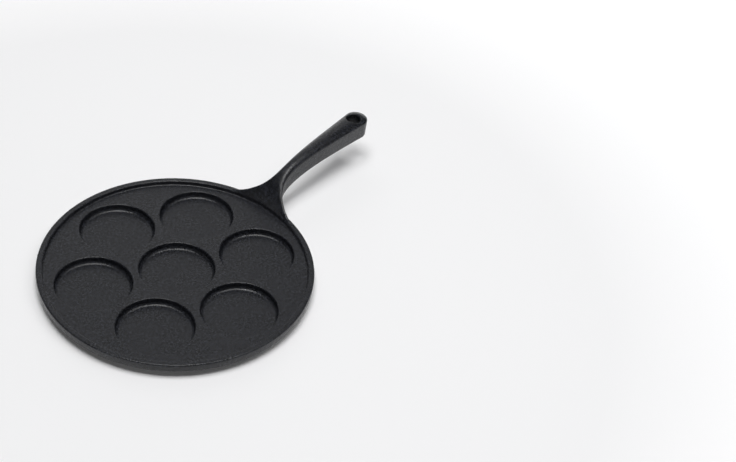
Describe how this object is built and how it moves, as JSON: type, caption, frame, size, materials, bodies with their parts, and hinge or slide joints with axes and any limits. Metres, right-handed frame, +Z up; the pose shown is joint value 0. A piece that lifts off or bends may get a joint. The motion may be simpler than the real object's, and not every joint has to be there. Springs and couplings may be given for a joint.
{
  "type": "cast iron pancake pan",
  "caption": "Flat round cast iron pan with shallow round wells for small pancakes, a low rim, a lobed base pad and a long rising handle with a hanging hole.",
  "frame": {"origin": "centre of the flat face the pan stands on, under the middle well, on the stove's plane", "axes": "+Z up out of the wells, +X along the handle away from the disc, +Y to the left seen from above with the handle pointing away"},
  "size_m": [0.393, 0.25, 0.0507],
  "materials": {
    "cast_iron": "matt black, fine sand-cast grain"
  },
  "bodies": {
    "root": {"well_plate": "cast_iron", "rim": "cast_iron", "base_pad": "cast_iron", "handle": "cast_iron"}
  },
  "joints": []
}
